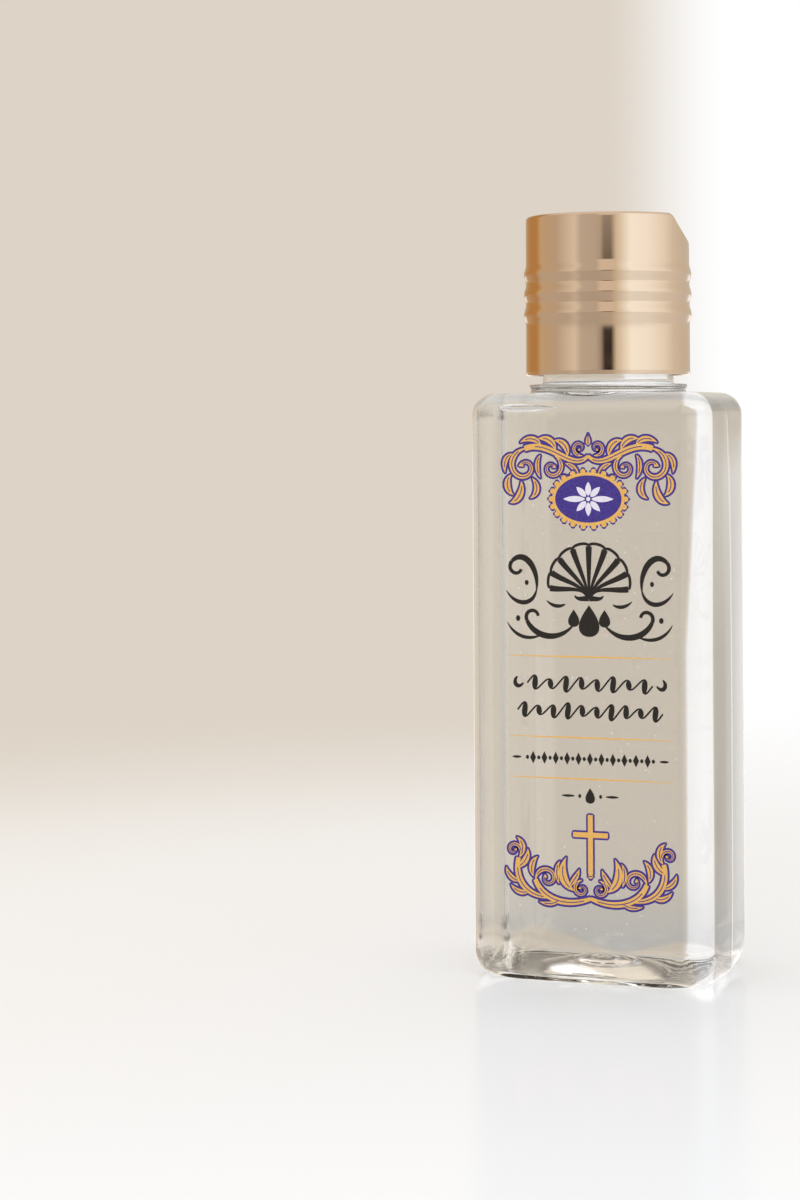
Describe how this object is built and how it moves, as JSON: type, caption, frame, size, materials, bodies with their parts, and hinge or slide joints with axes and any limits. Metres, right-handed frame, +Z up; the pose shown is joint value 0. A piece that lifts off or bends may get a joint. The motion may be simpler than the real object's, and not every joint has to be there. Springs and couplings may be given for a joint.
{
  "type": "water bottle with disc-top cap",
  "caption": "Clear rectangular plastic bottle filled with water, with a film label and a gold screw cap whose pressed disc tilts to open a spout.",
  "frame": {"origin": "middle of the underside, on the surface that the bottle stands on", "axes": "+Z up along the neck, -Y out of the label face, +X to the right of the label face; the cap's finger notch is turned 14 degrees from +X towards +Y"},
  "size_m": [0.0486, 0.0369, 0.1506],
  "materials": {
    "clear_pet": "blow-moulded clear PET",
    "water": "clear water",
    "clear_film": "clear printed film",
    "foam_pe": "foamed polyethylene",
    "ivory_pp": "moulded polypropylene",
    "gold_aluminium": "bright gold anodised",
    "gold_pp": "moulded gold polypropylene"
  },
  "bodies": {
    "bottle": {"bottle": "clear_pet", "water": "water", "front_label": "clear_film"},
    "gasket": {"neck_gasket": "foam_pe"},
    "cap": {"cap_body": "ivory_pp", "cap_sleeve": "gold_aluminium"},
    "disc": {"disc": "gold_pp", "disc_inlay": "gold_aluminium"}
  },
  "joints": [
    {"name": "cap_rise", "type": "slide", "parent": "bottle", "child": "gasket", "axis": [0, 0, 1], "range_m": [0, 0.017]},
    {"name": "cap_turn", "type": "hinge", "parent": "gasket", "child": "cap", "pos_m": [0, 0, 0.128], "axis": [0, 0, 1], "range_deg": [0, 1440]},
    {"name": "disc_tilt", "type": "hinge", "parent": "cap", "child": "disc", "pos_m": [0, 0, 0.147], "axis": [-0.2419, 0.9703, 0], "range_deg": [0, 25]}
  ],
  "couplings": [
    {"joint": "cap_rise", "follows": "cap_turn", "m_per_rad": 0.0006737}
  ]
}
